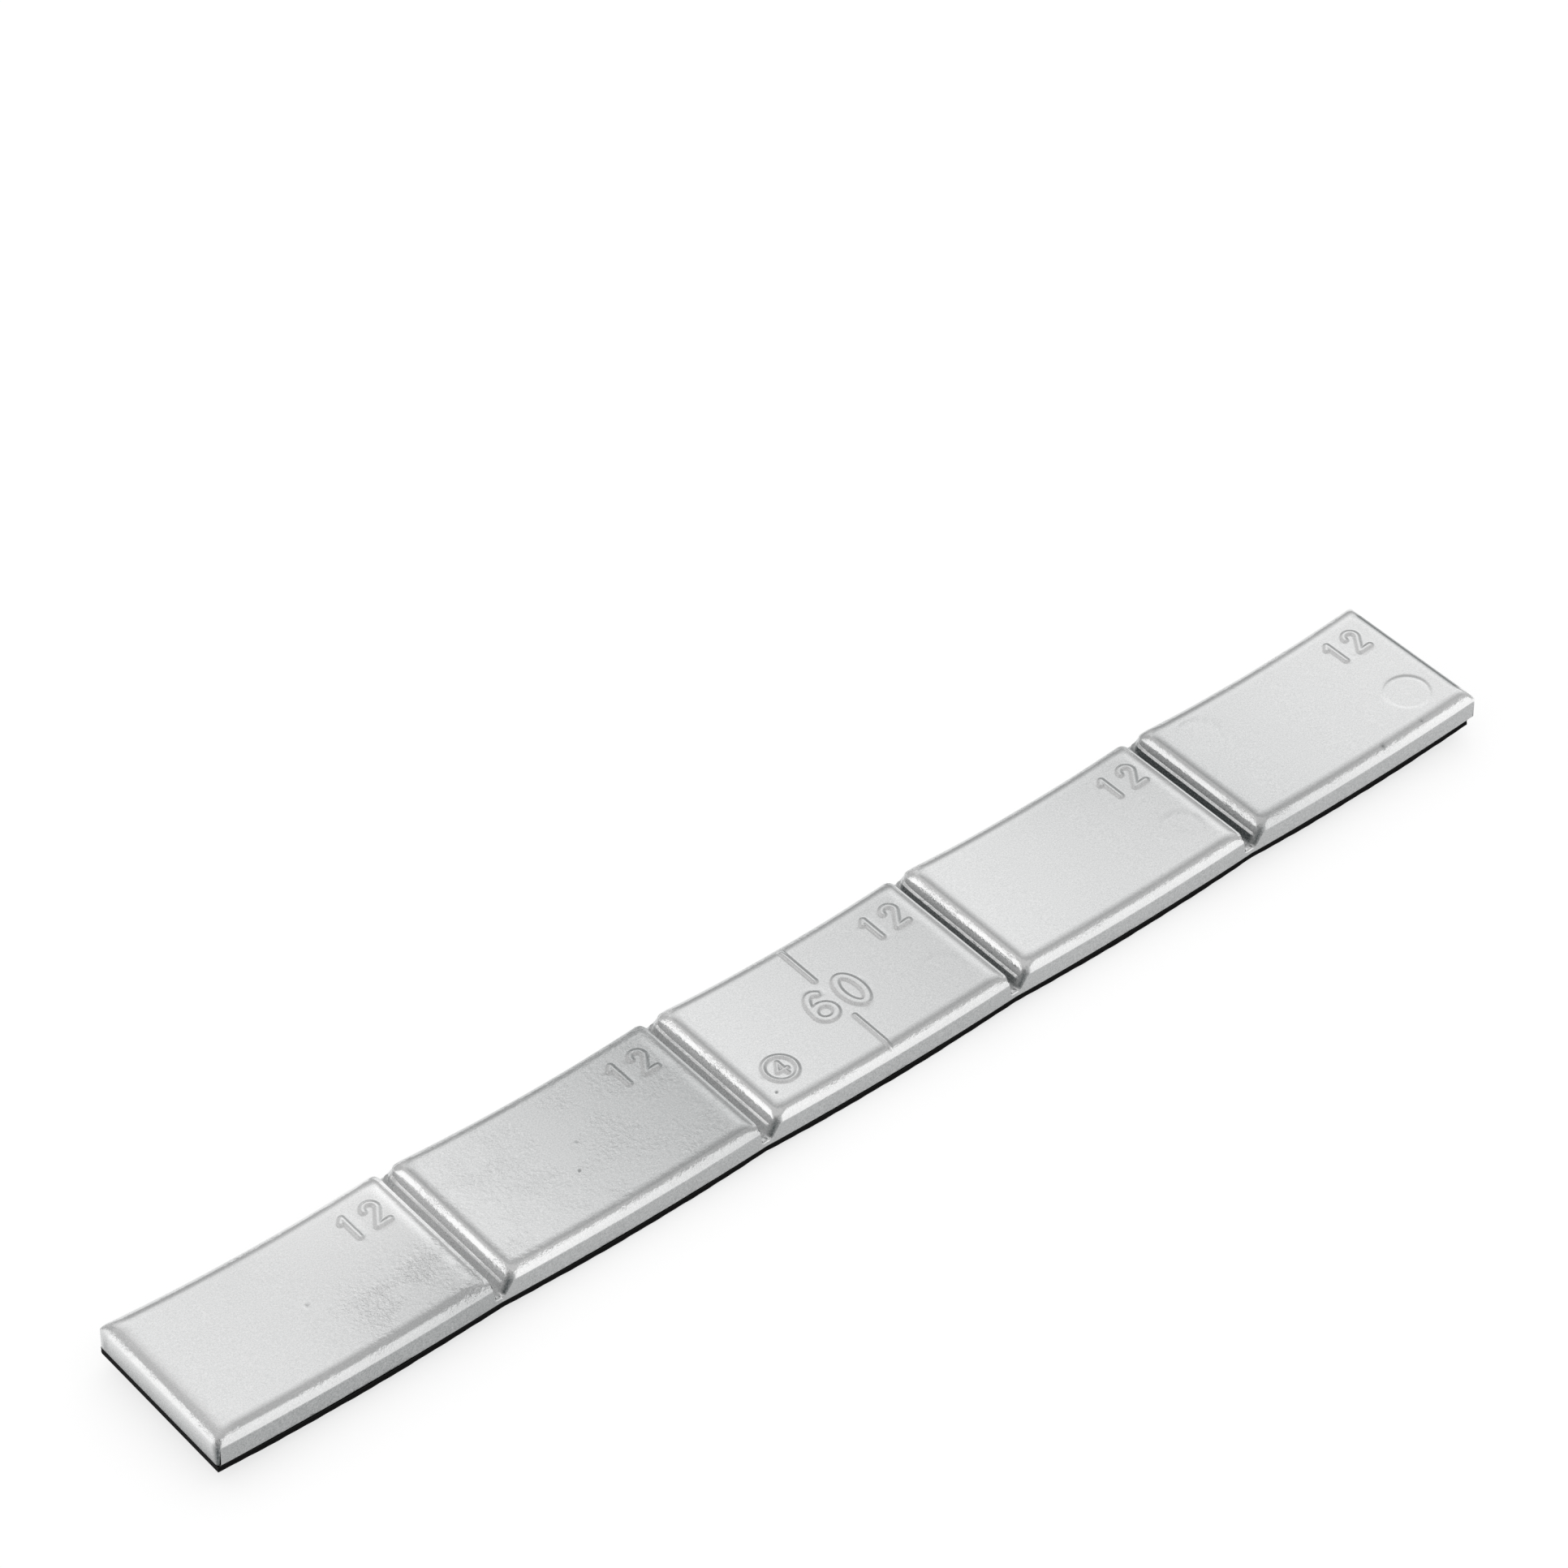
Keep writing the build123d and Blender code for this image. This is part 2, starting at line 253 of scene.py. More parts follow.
cast_points, cast_coat_and_painted_light, cast_dry = [], [], []
for segment in range(SEGMENTS):
    if segment == 0:
        left = row_end(ROW_START_EDGE, 0.0, ROW_START_PAINTED_HIGHLIGHT, SIDE_PAINTED_SHADE[segment])[:, ::-1]
        share_left = 0 * left[0] + 1
        left_radius = ROW_START_CORNER_RADIUS
    else:
        left = groove_left_of_segment(FLOOR_TO_RIGHT[segment - 1], GROOVE_WALL_PAINTED_LIGHT[segment - 1])[:, ::-1]
        up_the_wall = np.clip((left[1] - WEB_THICKNESS) / 1.2, 0, 1)
        share_left = (0.4 + 0.6 * up_the_wall) * (1 - left[3])
        left_radius = np.where(line_front, CORNER_RADIUS, BACK_CORNER_RADIUS)
    if segment == SEGMENTS - 1:
        right = row_end(ROW_END_EDGE, ROW_END_SHORT, ROW_END_PAINTED_SHADE, SIDE_PAINTED_SHADE[segment])
        share_right = 0 * right[0] + 1
        right_radius = ROW_END_CORNER_RADIUS
    else:
        right = groove_right_of_segment(FLOOR_TO_LEFT[segment], LIP_WIDTH[segment], GROOVE_WALL_PAINTED_LIGHT[segment])
        up_the_edge = np.clip((right[1] - THICKNESS + RIGHT_EDGE[1]) / RIGHT_EDGE[1], 0, 1)
        share_right = (0.3 + 0.7 * up_the_edge) * (1 - right[3])
        right_radius = np.where(line_front, CORNER_RADIUS, BACK_CORNER_RADIUS)
    flat = np.linspace(-left[0, -1], right[0, 0], FLAT_STEPS + 1)[1:-1]
    flat_rows = np.stack([flat, 0 * flat + THICKNESS, flat, 0 * flat, 0 * flat + FACE_COAT, 0 * flat])
    mirror = np.array([-1, 1, -1, 1, 1, 1])[:, None]
    along, height, plain, lean_share, coat, dry = np.concatenate([left * mirror, flat_rows, right], axis=1)
    fade_left = share_left[-1] * np.clip(1 - (flat - flat[0]) / CORNER_FADE, 0, 1) ** 2
    fade_right = share_right[0] * np.clip(1 - (flat[-1] - flat) / CORNER_FADE, 0, 1) ** 2
    share_left = np.concatenate([share_left, fade_left, 0 * right[0]])
    share_right = np.concatenate([0 * left[0], fade_right, share_right])

    half_width = STRIP_WIDTH / 2 - WAIST * np.clip(1 - (along / HALF_PITCH) ** 2, 0, 1)
    front = -half_width[:, None] + front_inset
    behind = half_width[:, None] - back_inset
    across = np.concatenate([front, front[:, -1:] + across_share * (behind[:, :1] - front[:, -1:]), behind], axis=1)
    drop_along = (THICKNESS - height)[:, None]
    in_groove = np.where(along < 0, segment > 0, segment < SEGMENTS - 1)[:, None]
    drop_along = drop_along * (1 - BACK_END_RISE * in_groove * back_end * drop_along / (THICKNESS - WEB_THICKNESS))
    drop_across = line_drop[None, :]
    near = np.clip(MITRE_SOFTNESS - np.abs(drop_along - drop_across), 0, None) / MITRE_SOFTNESS
    both = np.clip(np.minimum(drop_along, drop_across) / MITRE_SOFTNESS, 0, 1)
    drop = np.maximum(drop_along, drop_across) + both * near**2 * MITRE_SOFTNESS / 4
    drop = drop + np.outer(np.clip((WEB_THICKNESS + 0.12 - height) / 0.12, 0, 1) * (lean_share > 0), web_edge)
    grid_along = along[:, None] + np.outer(plain - along, 1 - off_corner)
    grid_along = grid_along + share_left[:, None] * corner_cut(THICKNESS - height, left_radius)
    grid_along = grid_along - share_right[:, None] * corner_cut(THICKNESS - height, right_radius)
    grid_height = THICKNESS - drop

    # Sides and underside
    under_inset = UNDER_EDGE_RADIUS * (1 - np.cos(under_angles))[None, :]
    side = np.linspace(0, 1, 4)[1:-1][None, :]
    low_inset = np.concatenate([np.zeros_like(side), under_inset], axis=1)
    low_across = -half_width[:, None] + low_inset
    low_heights, low_alongs = [], []
    for outermost in (slice(0, 1), slice(-1, None)):
        start = grid_height[:, outermost]
        under_height = np.minimum(UNDER_EDGE_RADIUS * (1 - np.sin(under_angles))[None, :], start)
        low_heights.append(np.concatenate([start + side * (under_height[:, :1] - start), under_height], axis=1))
        low_alongs.append(np.broadcast_to(grid_along[:, outermost], low_across.shape))
    row_along = np.concatenate([low_alongs[0][:, ::-1], grid_along, low_alongs[1]], axis=1)
    row_across = np.concatenate([low_across[:, ::-1], across, -low_across], axis=1)
    row_height = np.concatenate([low_heights[0][:, ::-1], grid_height, low_heights[1]], axis=1)
    x, z = on_row(segment, row_along, row_height, np.broadcast_to(lean_share[:, None], row_along.shape))

    # Coat, uneven along the row
    spray = np.interp(along, [-HALF_PITCH, HALF_PITCH], [SPRAY_LEFT[segment], SPRAY_RIGHT[segment]])[:, None]
    rightward = np.clip(along / HALF_PITCH + 0.2, 0, 1)[:, None]
    spray = spray + SPRAY_BACK_RIGHT[segment] * rightward * across / (STRIP_WIDTH / 2)
    lows = low_across.shape[1]
    # Painted shade on the sides and underside: they take a darker coat value than the top.
    row_coat_and_painted_light = np.full(row_along.shape, SIDE_PAINTED_SHADE[segment])
    foot = WEB_THICKNESS if segment else -1.0
    # Painted shade down the front corner at the start of each segment: its coat goes to the sides' darker value and it
    # is made matt, with a darker painted shade band round the bend.
    low_corner = np.clip((THICKNESS - 0.5 - height) / 0.7, 0, 1) * np.clip((height - foot) / 0.2, 0, 1)
    low_corner = np.where(along < 0, low_corner, 0)[:, None]
    corner = low_corner * (1 - off_corner) * line_front
    beside = np.clip(line_inset / left_radius, 0, 1)[None, :]
    # The darker painted shade band round the bend of the corner.
    worn = CORNER_PAINTED_SHADE * line_front * low_corner * np.exp(-(((beside - 0.3) / 0.28) ** 2))
    # Painted highlight on the front edges and painted shade on the back edges, as a factor on the coat.
    edge_painted_light = np.where(line_front, 1, BACK_EDGE_PAINTED_SHADE)
    edge_painted_light = np.where(line_front & (line_inset < 0.7), FRONT_EDGE_PAINTED_HIGHLIGHT[segment], edge_painted_light)
    edge_painted_light = np.where(line_inset > 1.4, 1, edge_painted_light)
    at_row_end = ((along > 0) & (segment == SEGMENTS - 1))[:, None]
    off_edge = np.where(at_row_end, np.clip((line_inset - 1.3) / 0.8, 0, 1), off_corner)
    top_coat_and_painted_light = spray * edge_painted_light * (FACE_COAT + (coat - FACE_COAT)[:, None] * off_edge)
    top_coat_and_painted_light = top_coat_and_painted_light + corner * (SIDE_PAINTED_SHADE[segment] - top_coat_and_painted_light) - worn
    top_dry = np.outer(dry, off_corner) + corner * CORNER_DRYNESS
    row_coat_and_painted_light[:, lows + 1:-lows - 1] = top_coat_and_painted_light[:, 1:-1]
    row_dry = np.full(row_along.shape, SIDE_DRYNESS)
    row_dry[:, lows + 1:-lows - 1] = top_dry[:, 1:-1]
    first = 0 if segment == 0 else 1
    cast_points.append(np.stack([x, row_across, z], axis=2)[first:])
    cast_coat_and_painted_light.append(row_coat_and_painted_light[first:])
    cast_dry.append(row_dry[first:])

cast_grid = np.concatenate(cast_points, axis=0)
stations, ring = cast_grid.shape[:2]
index = np.arange(stations * ring).reshape(stations, ring)
ahead = np.roll(index, -1, axis=1)
cast_faces = np.stack([index[:-1], index[1:], ahead[1:], ahead[:-1]], axis=2).reshape(-1, 4)
end_faces = [index[0].tolist(), index[-1][::-1].tolist()]
cast_mesh = bpy.data.meshes.new("cast_strip")
cast_mesh.from_pydata((cast_grid.reshape(-1, 3) * MM).tolist(), [], cast_faces.tolist() + end_faces)
cast_mesh.attributes.new("coat", "FLOAT", "POINT").data.foreach_set("value", np.concatenate(cast_coat_and_painted_light).ravel())
cast_mesh.attributes.new("dry", "FLOAT", "POINT").data.foreach_set("value", np.concatenate(cast_dry).ravel())

# Raised figures, as strokes on the top of a segment: points along and across from its middle, and the stroke's width
FIGURE_RELIEF = 0.2
STEEP_FLANK = 0.14
SOFT_FLANK = 0.3
# Painted shade on the right flanks and painted highlight on the left flanks of the figures, in their coat value.
RIGHT_FLANK_PAINTED_SHADE = 0.22
LEFT_FLANK_PAINTED_HIGHLIGHT = 0.25
LEFT_FLANK_DRYNESS = 0.5
CORNER_ALONG = 10.1
CORNER_ACROSS = 4.4


def oval(middle, half_width, half_height, start=0, end=360, steps=40):
    """Points round an oval, anticlockwise from the right, in degrees."""
    angles = np.radians(np.linspace(start, end, steps + 1))
    return np.stack([middle[0] + half_width * np.cos(angles), middle[1] + half_height * np.sin(angles)], axis=1)


def line(*points):
    """Points of a stroke with straight runs."""
    return np.array(points, dtype=float)


grams_of_strip = [
    (oval((1.98, -0.45), 1.06, 2.01), 0.78),
    (oval((-1.84, -1.22), 1.06, 1.0), 0.74),
    (oval((-1.6, -1.1), 1.3, 2.5, 180, 62, 24), 0.70),
]
centre_mark = [
    (line((0, 2.6), (0, 7.6)), 0.5),
    (line((0, -3.3), (0, -8.3)), 0.4),
]
grams_of_segment = [
    (line((-1.75, 0.95), (-1.3, 1.42), (-1.3, -1.42)), 0.55),
    (np.concatenate([oval((1.35, 0.72), 0.68, 0.70, 175, -30, 20), line((0.68, -1.42), (2.05, -1.42))]), 0.55),
]
mould_number = [
    (oval((0, 0), 1.64, 1.64), 0.42),
    (line((0.25, -0.8), (0.25, 0.8), (-0.55, -0.3), (0.6, -0.3)), 0.34),
]


def placed(strokes, along, across):
    """Strokes moved to their place on a segment."""
    return [(points + np.array([along, across]), width) for points, width in strokes]


def raised_stroke(along, across, points, width):
    """Height of a raised stroke over a set of places, and how much its flank lies to the right, up to 1, or to the
    left, down to -1. The flanks to the right are softer."""
    nearest = np.full(along.shape, np.inf)
    to_right = np.zeros(along.shape)
    for start, end in zip(points, points[1:]):
        run = end - start
        share = np.clip(((along - start[0]) * run[0] + (across - start[1]) * run[1]) / (run @ run), 0, 1)
        out_along, out_across = along - start[0] - share * run[0], across - start[1] - share * run[1]
        gap = np.hypot(out_along, out_across)
        closer = gap < nearest
        nearest = np.where(closer, gap, nearest)
        to_right = np.where(closer, (0.9 * out_along + 0.44 * out_across) / np.maximum(gap, 0.001), to_right)
    softness = STEEP_FLANK + (SOFT_FLANK - STEEP_FLANK) * (0.5 + 0.5 * to_right)
    rise = np.clip((width / 2 + softness - nearest) / (2 * softness), 0, 1)
    rise = rise * rise * (3 - 2 * rise)
    steep = np.clip(np.where(to_right > 0, 12, 40) * rise * (1 - rise), 0, 1)
    return FIGURE_RELIEF * rise, steep * np.clip(to_right * 2, -1, 1)


segment_strokes = [placed(grams_of_segment, CORNER_ALONG, CORNER_ACROSS) for _ in range(SEGMENTS)]
segment_strokes[2] += grams_of_strip + centre_mark + placed(mould_number, -CORNER_ALONG, -CORNER_ACROSS)

# Marks of the ejector pins: segment, place along and across, depth of the pressed disc and of the ring round it
EJECTOR_RADIUS = 2.32
ejector_marks = [
    (4, CORNER_ALONG, -CORNER_ACROSS, 0.04, 0.10),
    (4, -CORNER_ALONG, CORNER_ACROSS, 0.01, 0.04),
    (3, CORNER_ALONG, -CORNER_ACROSS, 0.01, 0.05),
    (2, CORNER_ALONG, -CORNER_ACROSS, 0.0, 0.02),
]


def ejector_depth(along, across, mark):
    """Depth of a pin mark, deepest on the side towards the back right."""
    _, mark_along, mark_across, disc, ring_depth = mark
    along, across = along - mark_along, across - mark_across
    radius = np.hypot(along, across)
    towards = 0.5 + 0.5 * (along + across) / np.maximum(radius, 0.01) / math.sqrt(2)
    inside = np.clip((EJECTOR_RADIUS - radius) / 0.25, 0, 1)
    rim = np.exp(-(((radius - EJECTOR_RADIUS) / 0.16) ** 2))
    return disc * inside + ring_depth * rim * towards


# Pinholes and nicks of the casting: segment, place along and across, radius, depth
casting_flaws = [
    (0, 0.2, -0.6, 0.30, 0.05),
    (1, 0.4, 0.3, 0.28, 0.05),
    (1, -1.6, -2.7, 0.20, 0.10),
    (2, -12.4, -6.6, 0.18, 0.12),
    (4, 3.0, -8.2, 0.30, 0.12),
    (4, 8.4, -8.2, 0.25, 0.10),
]


def place_on_top(points):
    """Segment, place along and place across of points near the top, and their height over the underside."""
    segment = np.clip(np.searchsorted(webs[1:-1, 0], points[:, 0]), 0, SEGMENTS - 1)
    from_centre = points[:, [0, 2]] - centres[segment]
    angle = np.arctan2(from_centre[:, 0], -from_centre[:, 1]) - np.array(tilts)[segment]
    height = RIM_RADIUS - np.hypot(from_centre[:, 0], from_centre[:, 1])
    return segment, (RIM_RADIUS - THICKNESS) * angle, points[:, 1], height


# The mesh is made finer where the figures and flaws stand, and then raised or sunk there
STROKE_MARGIN = 0.55
EJECTOR_ZONE = 2.8
FINE_CUTS = 4
SAME_POINT = 1e-4
zones = []
for segment, strokes in enumerate(segment_strokes):
    for points, _ in strokes:
        lowest, highest = points.min(axis=0) - STROKE_MARGIN, points.max(axis=0) + STROKE_MARGIN
        zones.append((segment, lowest[0], highest[0], lowest[1], highest[1]))
zones += [(segment, a - 2 * r, a + 2 * r, c - 2 * r, c + 2 * r) for segment, a, c, r, _ in casting_flaws]
zones.append((4, CORNER_ALONG - EJECTOR_ZONE, CORNER_ALONG + EJECTOR_ZONE,
              -CORNER_ACROSS - EJECTOR_ZONE, -CORNER_ACROSS + EJECTOR_ZONE))
middles = cast_grid.reshape(-1, 3)[cast_faces].mean(axis=1)
segment, along, across, height = place_on_top(middles)
chosen = np.zeros(len(middles), dtype=bool)
for zone in zones:
    chosen |= (segment == zone[0]) & (along > zone[1]) & (along < zone[2]) & (across > zone[3]) & (across < zone[4])
chosen &= height > THICKNESS - FRONT_EDGE[1]
work = bmesh.new()
work.from_mesh(cast_mesh)
work.faces.ensure_lookup_table()
fine_edges = {edge for face in np.nonzero(chosen)[0] for edge in work.faces[face].edges}
bmesh.ops.subdivide_edges(work, edges=list(fine_edges), cuts=FINE_CUTS, use_grid_fill=True)
bmesh.ops.remove_doubles(work, verts=work.verts, dist=SAME_POINT * MM)
work.to_mesh(cast_mesh)
work.free()
points = np.empty(len(cast_mesh.vertices) * 3)
cast_mesh.vertices.foreach_get("co", points)
points = points.reshape(-1, 3) / MM
segment, along, across, height = place_on_top(points)
raised = np.zeros(len(points))
coat, dry = np.empty(len(points)), np.empty(len(points))
cast_mesh.attributes["coat"].data.foreach_get("value", coat)
cast_mesh.attributes["dry"].data.foreach_get("value", dry)
for number, strokes in enumerate(segment_strokes):
    here = (segment == number) & (height > THICKNESS - FRONT_EDGE[1])
    stood, flank = raised[here], 0 * raised[here]
    for stroke, width in strokes:
        stroke_height, stroke_flank = raised_stroke(along[here], across[here], stroke, width)
        flank = np.where(stroke_height > stood, stroke_flank, flank)
        stood = np.maximum(stood, stroke_height)
    raised[here] = stood
    # Painted shade on the right flanks and painted highlight on the left flanks, in the coat value.
    coat[here] += np.where(flank > 0, -RIGHT_FLANK_PAINTED_SHADE * flank, -LEFT_FLANK_PAINTED_HIGHLIGHT * flank)
    dry[here] = np.maximum(dry[here], -LEFT_FLANK_DRYNESS * flank)
for mark in ejector_marks:
    here = (segment == mark[0]) & (height > THICKNESS - FRONT_EDGE[1])
    sunk = ejector_depth(along[here], across[here], mark)
    raised[here] -= sunk
    # Painted shade in the ring of each pin mark: the coat is darker by the ring's depth.
    coat[here] -= np.clip(sunk - mark[3], 0, None) * 2
for number, flaw_along, flaw_across, radius, depth in casting_flaws:
    here = (segment == number) & (height > THICKNESS - FRONT_EDGE[1])
    gap = np.hypot(along[here] - flaw_along, across[here] - flaw_across)
    pit = np.exp(-((gap / radius * 1.6) ** 2))
    raised[here] -= depth * pit
    # Painted shade in each pit: the coat is darker by the pit's depth.
    coat[here] -= 4 * depth * pit
cast_mesh.attributes["coat"].data.foreach_set("value", np.clip(coat, 0, 1))
cast_mesh.attributes["dry"].data.foreach_set("value", dry)
outward = points[:, [0, 2]] - centres[segment]
outward /= np.hypot(outward[:, 0], outward[:, 1])[:, None]
points[:, [0, 2]] -= outward * raised[:, None]
cast_mesh.vertices.foreach_set("co", (points * MM).ravel())

# How much the coat is wrinkled: the edges a little, the front right of the first segment and all of the second more
SMOOTH_WRINKLES = 0.1
SECOND_WRINKLES = 0.55
EDGE_WRINKLES = 0.5
wrinkled = np.where(segment == 1, SECOND_WRINKLES, SMOOTH_WRINKLES)
first_right = np.clip((along + 2) / 8, 0, 1) * np.clip((1 - across) / 4, 0, 1)
wrinkled = np.where(segment == 0, SMOOTH_WRINKLES + 0.9 * first_right, wrinkled)
wrinkled = np.where(height < THICKNESS - 0.2, np.maximum(wrinkled, EDGE_WRINKLES), wrinkled)
cast_mesh.attributes.new("wrinkled", "FLOAT", "POINT").data.foreach_set("value", wrinkled)
cast_mesh.validate()
cast_mesh.shade_smooth()
cast_strip = bpy.data.objects.new("cast_strip", cast_mesh)
bpy.context.collection.objects.link(cast_strip)


def node_adder(tree):
    """A function that adds a node to a tree, with values or links for its sockets and settings of its own."""
    def add(kind, values=None, **settings):
        node = tree.nodes.new(kind)
        for key, value in settings.items():
            setattr(node, key, value)
        for key, value in (values or {}).items():
            if isinstance(value, bpy.types.NodeSocket):
                tree.links.new(value, node.inputs[key])
            else:
                node.inputs[key].default_value = value
        return node

    return add, tree.links


def new_material(name):
    """A material, its shader, and what adds nodes and links to it."""
    material = bpy.data.materials.new(name)
    material.use_nodes = True
    add, links = node_adder(material.node_tree)
    return material, material.node_tree.nodes["Principled BSDF"], add, links


# Silver coat: fine metal flakes in a glossy film with a slight orange peel, dry and matt where little spray reached
BARE_ZINC = (0.085, 0.105, 0.108, 1)
FULL_SILVER = (0.95, 0.95, 0.95, 1)
FLAKE_CONTRAST = 0.12
PEEL_DEPTH = 0.00017
FLAKE_DEPTH = 0.000005
silver, shader, add, links = new_material("silver_coat")
place = add("ShaderNodeTexCoord").outputs["Object"]
# The coat attribute sets the tone from bare zinc to full silver: the coat's own uneven spray, and the painted shade and
# painted highlights laid on the mesh.
coat = add("ShaderNodeAttribute", attribute_name="coat").outputs["Fac"]
dry = add("ShaderNodeAttribute", attribute_name="dry").outputs["Fac"]
wrinkled = add("ShaderNodeAttribute", attribute_name="wrinkled").outputs["Fac"]
flakes = add("ShaderNodeTexNoise", {"Vector": place, "Scale": 7000.0, "Detail": 2.0, "Roughness": 0.7})
peel = add("ShaderNodeTexNoise", {"Vector": place, "Scale": 2200.0, "Detail": 3.0, "Roughness": 0.6})
cloud = add("ShaderNodeTexNoise", {"Vector": place, "Scale": 200.0, "Detail": 4.0, "Roughness": 0.6})
uneven = add("ShaderNodeMapRange", {"Value": flakes.outputs["Fac"], "From Min": 0.25, "From Max": 0.75,
                                    "To Min": -FLAKE_CONTRAST, "To Max": FLAKE_CONTRAST})
spread = add("ShaderNodeMath", {0: dry, 1: 1.6, 2: 1.0}, operation="MULTIPLY_ADD")
uneven = add("ShaderNodeMath", {0: uneven.outputs["Result"], 1: spread.outputs["Value"], 2: coat},
             operation="MULTIPLY_ADD")
tone = add("ShaderNodeMix", {"Factor": uneven.outputs["Value"], "A": BARE_ZINC, "B": FULL_SILVER}, data_type="RGBA")
links.new(tone.outputs["Result"], shader.inputs["Base Color"])
metal = add("ShaderNodeMapRange", {"Value": dry, "To Min": 1.0, "To Max": 0.0})
links.new(metal.outputs["Result"], shader.inputs["Metallic"])
gloss = add("ShaderNodeMapRange", {"Value": cloud.outputs["Fac"], "From Min": 0.3, "From Max": 0.7,
                                   "To Min": 0.10, "To Max": 0.16})
rough = add("ShaderNodeMath", {0: dry, 1: 0.53, 2: gloss.outputs["Result"]}, operation="MULTIPLY_ADD")
links.new(rough.outputs["Value"], shader.inputs["Roughness"])
patches = add("ShaderNodeMapRange", {"Value": cloud.outputs["Fac"], "From Min": 0.42, "From Max": 0.6,
                                     "To Min": 0.15, "To Max": 1.0})
wrinkled = add("ShaderNodeMath", {0: wrinkled, 1: patches.outputs["Result"]}, operation="MULTIPLY")
peel_bump = add("ShaderNodeBump", {"Height": peel.outputs["Fac"], "Strength": wrinkled.outputs["Value"],
                                   "Distance": PEEL_DEPTH})
flake_bump = add("ShaderNodeBump", {"Height": flakes.outputs["Fac"], "Strength": 1.0, "Distance": FLAKE_DEPTH,
                                    "Normal": peel_bump.outputs["Normal"]})
links.new(flake_bump.outputs["Normal"], shader.inputs["Normal"])
cast_mesh.materials.append(silver)
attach(cast_strip, "root")
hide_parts("cast_weight_strip")

# Foam tape
# A strip of black double-sided foam tape that is stuck along the whole underside, cut a little short of the right end.
# It is die cut and pressed on by hand, so its edge is soft and not quite straight.
TAPE_INSET = 0.06
TAPE_WAVE = 0.035
TAPE_SHORT_LEFT = 0.05
TAPE_SHORT_RIGHT = 1.0
TAPE_SKEW = 0.01
tape_points = []
for segment in range(SEGMENTS):
    along = np.linspace(-HALF_PITCH, HALF_PITCH, 121)
    if segment == 0:
        along[0] += TAPE_SHORT_LEFT
    else:
        along = along[1:]
    if segment == SEGMENTS - 1:
        along = along[along < HALF_PITCH - TAPE_SHORT_RIGHT]
    half = STRIP_WIDTH / 2 - TAPE_INSET
    ring_shape = [(-1.0, 0.0, 0.0), (-1.0, 0.06, -0.25), (-1.0, 0.0, -0.5), (-1.0, 0.02, -0.7), (-1.0, 0.1, -0.8)]
    ring_shape += [(1.0, inset, depth) for _, inset, depth in ring_shape[::-1]]
    run = (segment - 2) * PITCH + along
    skew = TAPE_SKEW * run / PITCH
    wave = TAPE_WAVE * (np.sin(run * 0.5) + np.sin(run * 1.3 + 1.0) + np.sin(run * 3.1 + 2.0)) / 3
    across = np.stack([side * (half - inset + wave) + skew for side, inset, _ in ring_shape], axis=1)
    depth = np.broadcast_to(np.array([d for _, _, d in ring_shape]), across.shape)
    grid_along = np.broadcast_to(along[:, None], across.shape)
    x, z = on_row(segment, grid_along, depth)
    x = np.maximum(x, webs[0, 0] + TAPE_SHORT_LEFT)
    tape_points.append(np.stack([x, across, z], axis=2))
tape_grid = np.concatenate(tape_points, axis=0)
stations, ring = tape_grid.shape[:2]
index = np.arange(stations * ring).reshape(stations, ring)
ahead = np.roll(index, -1, axis=1)
tape_faces = np.stack([index[:-1], ahead[:-1], ahead[1:], index[1:]], axis=2).reshape(-1, 4).tolist()
tape_faces.append(index[0][::-1].tolist())
tape_faces.append(index[-1].tolist())
tape_mesh = bpy.data.meshes.new("foam_tape")
tape_mesh.from_pydata((tape_grid.reshape(-1, 3) * MM).tolist(), [], tape_faces)
tape_mesh.validate()
foam_tape = bpy.data.objects.new("foam_tape", tape_mesh)
bpy.context.collection.objects.link(foam_tape)

DARK_FOAM = (0.001, 0.001, 0.001, 1)
PALE_FOAM = (0.006, 0.006, 0.006, 1)
foam, shader, add, links = new_material("foam_tape")
place = add("ShaderNodeTexCoord").outputs["Object"]
cells = add("ShaderNodeTexNoise", {"Vector": place, "Scale": 5000.0, "Detail": 3.0, "Roughness": 0.6})
tone = add("ShaderNodeMix", {"Factor": cells.outputs["Fac"], "A": DARK_FOAM, "B": PALE_FOAM}, data_type="RGBA")
links.new(tone.outputs["Result"], shader.inputs["Base Color"])
shader.inputs["Roughness"].default_value = 0.8
shader.inputs["Specular IOR Level"].default_value = 0.1
cell_bump = add("ShaderNodeBump", {"Height": cells.outputs["Fac"], "Strength": 0.6, "Distance": 0.00005})
links.new(cell_bump.outputs["Normal"], shader.inputs["Normal"])
tape_mesh.materials.append(foam)
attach(foam_tape, "root")
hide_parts("adhesive_tape")

# Studio
# A plain white table in soft light: bright low walls on the near side, and one softbox high up behind on the right.
FLOOR_REACH = 1.5
FLOOR_LIFT = 0.72
floor_mesh = bpy.data.meshes.new("floor")
rim = [(FLOOR_REACH * math.cos(a), FLOOR_REACH * math.sin(a), 0.0) for a in np.radians(np.arange(0, 360, 5))]
floor_mesh.from_pydata(rim, [], [list(range(len(rim)))])
floor = bpy.data.objects.new("floor", floor_mesh)
bpy.context.collection.objects.link(floor)
white, shader, add, links = new_material("white_table")
shader.inputs["Base Color"].default_value = (0.5, 0.5, 0.5, 1)
shader.inputs["Roughness"].default_value = 1.0
shader.inputs["Specular IOR Level"].default_value = 0.0
ray = add("ShaderNodeLightPath")
seen = add("ShaderNodeMath", {0: ray.outputs["Is Camera Ray"], 1: ray.outputs["Is Glossy Ray"]}, operation="MAXIMUM")
seen = add("ShaderNodeMath", {0: seen.outputs["Value"], 1: ray.outputs["Is Transmission Ray"]}, operation="MAXIMUM")
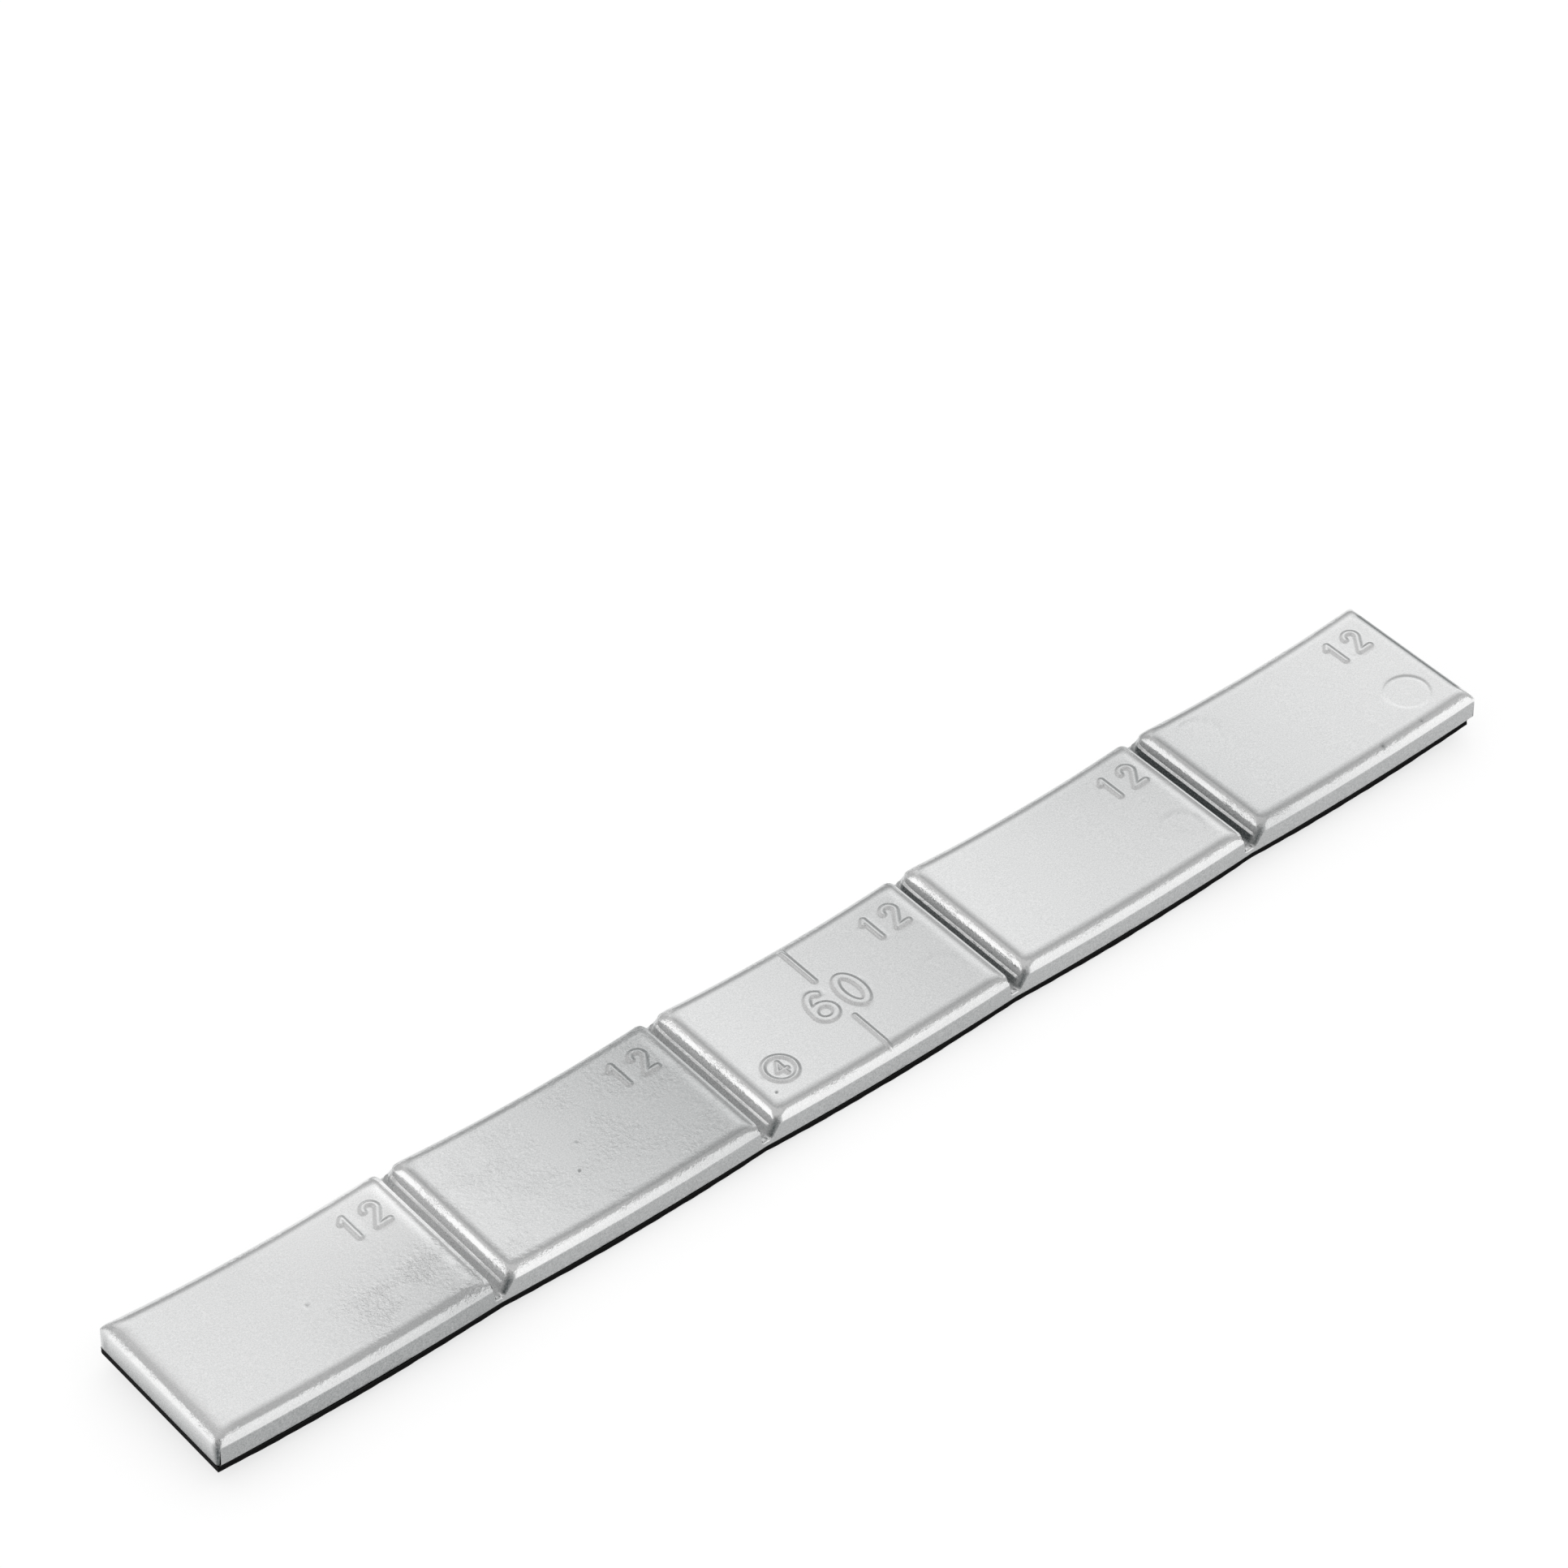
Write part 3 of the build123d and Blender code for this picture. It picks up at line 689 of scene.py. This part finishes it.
lift = add("ShaderNodeMath", {0: seen.outputs["Value"], 1: FLOOR_LIFT}, operation="MULTIPLY")
shader.inputs["Emission Color"].default_value = (1, 1, 1, 1)
links.new(lift.outputs["Value"], shader.inputs["Emission Strength"])
floor_mesh.materials.append(white)

world = bpy.data.worlds.new("studio")
world.use_nodes = True
bpy.context.scene.world = world
add, links = node_adder(world.node_tree)
ROOM_LEVEL = 0.55
WALL_LEVEL = 0.50
GAP_LEVEL = -0.35
SOFTBOX_LEVEL = 0.60
SOFTBOX_DIRECTION = (0.62, 0.56, 0.55)
SOFTBOX_REACH = math.radians(46)
towards = add("ShaderNodeTexCoord").outputs["Generated"]
height = add("ShaderNodeSeparateXYZ", {0: towards}).outputs["Z"]
low = add("ShaderNodeVectorMath", {0: towards, 1: (0.0, -0.05, 1.0)}, operation="DOT_PRODUCT")
low = add("ShaderNodeMapRange", {"Value": low.outputs["Value"], "From Min": 0.60, "From Max": 0.44},
          interpolation_type="SMOOTHSTEP")
near_side = add("ShaderNodeVectorMath", {0: towards, 1: (-0.707, -0.707, 0.0)}, operation="DOT_PRODUCT")
near_side = add("ShaderNodeMapRange", {"Value": near_side.outputs["Value"], "From Min": -0.15, "From Max": 0.05},
                interpolation_type="SMOOTHSTEP")
gap = add("ShaderNodeVectorMath", {0: towards, 1: (-0.651, -0.759, 0.0)}, operation="DOT_PRODUCT")
gap = add("ShaderNodeMapRange", {"Value": gap.outputs["Value"], "From Min": 0.55, "From Max": 0.8},
          interpolation_type="SMOOTHSTEP")
wall = add("ShaderNodeMath", {0: low.outputs["Result"], 1: near_side.outputs["Result"]}, operation="MULTIPLY")
beside = add("ShaderNodeMath", {0: 1.0, 1: gap.outputs["Result"]}, operation="SUBTRACT")
wall = add("ShaderNodeMath", {0: wall.outputs["Value"], 1: beside.outputs["Value"]}, operation="MULTIPLY")
wall = add("ShaderNodeMath", {0: wall.outputs["Value"], 1: WALL_LEVEL, 2: ROOM_LEVEL}, operation="MULTIPLY_ADD")
wall = add("ShaderNodeMath", {0: gap.outputs["Result"], 1: GAP_LEVEL, 2: wall.outputs["Value"]},
           operation="MULTIPLY_ADD")
softbox = add("ShaderNodeVectorMath", {0: towards, 1: SOFTBOX_DIRECTION}, operation="DOT_PRODUCT")
softbox = add("ShaderNodeMath", {0: softbox.outputs["Value"]}, operation="ARCCOSINE")
softbox = add("ShaderNodeMapRange", {"Value": softbox.outputs["Value"], "From Min": SOFTBOX_REACH, "From Max": 0.0})
cut = add("ShaderNodeMapRange", {"Value": height, "From Min": 0.15, "From Max": 0.5, "To Max": SOFTBOX_LEVEL},
          interpolation_type="SMOOTHSTEP")
level = add("ShaderNodeMath", {0: softbox.outputs["Result"], 1: cut.outputs["Result"], 2: wall.outputs["Value"]},
            operation="MULTIPLY_ADD")
links.new(level.outputs["Value"], world.node_tree.nodes["Background"].inputs["Strength"])
world.node_tree.nodes["Background"].inputs["Color"].default_value = (1, 1, 1, 1)

# Camera
# A long lens from the front left, above the strip.
CAMERA_DISTANCE = 523.2
CAMERA_AIM = (18.008, 28.497, TAPE_THICKNESS)
SENSOR_WIDTH = 36.0
LENS = 120.606
camera_data = bpy.data.cameras.new("camera")
camera = bpy.data.objects.new("camera", camera_data)
bpy.context.collection.objects.link(camera)
azimuth, elevation, roll = math.radians(-40.638), math.radians(42.509), math.radians(0.971)
back = Vector((math.sin(azimuth) * math.cos(elevation), -math.cos(azimuth) * math.cos(elevation), math.sin(elevation)))
right = Vector((math.cos(azimuth), math.sin(azimuth), 0))
up = back.cross(right)
right, up = right * math.cos(roll) + up * math.sin(roll), up * math.cos(roll) - right * math.sin(roll)
aim = Vector(CAMERA_AIM) * MM
turn = Matrix((right, up, back)).transposed().to_4x4()
camera.matrix_world = Matrix.Translation(aim + back * CAMERA_DISTANCE * MM) @ turn
camera_data.sensor_width = SENSOR_WIDTH
camera_data.lens = LENS
camera_data.clip_start = 0.01
camera_data.clip_end = 20.0
bpy.context.scene.camera = camera
bpy.context.scene.view_settings.view_transform = "Standard"
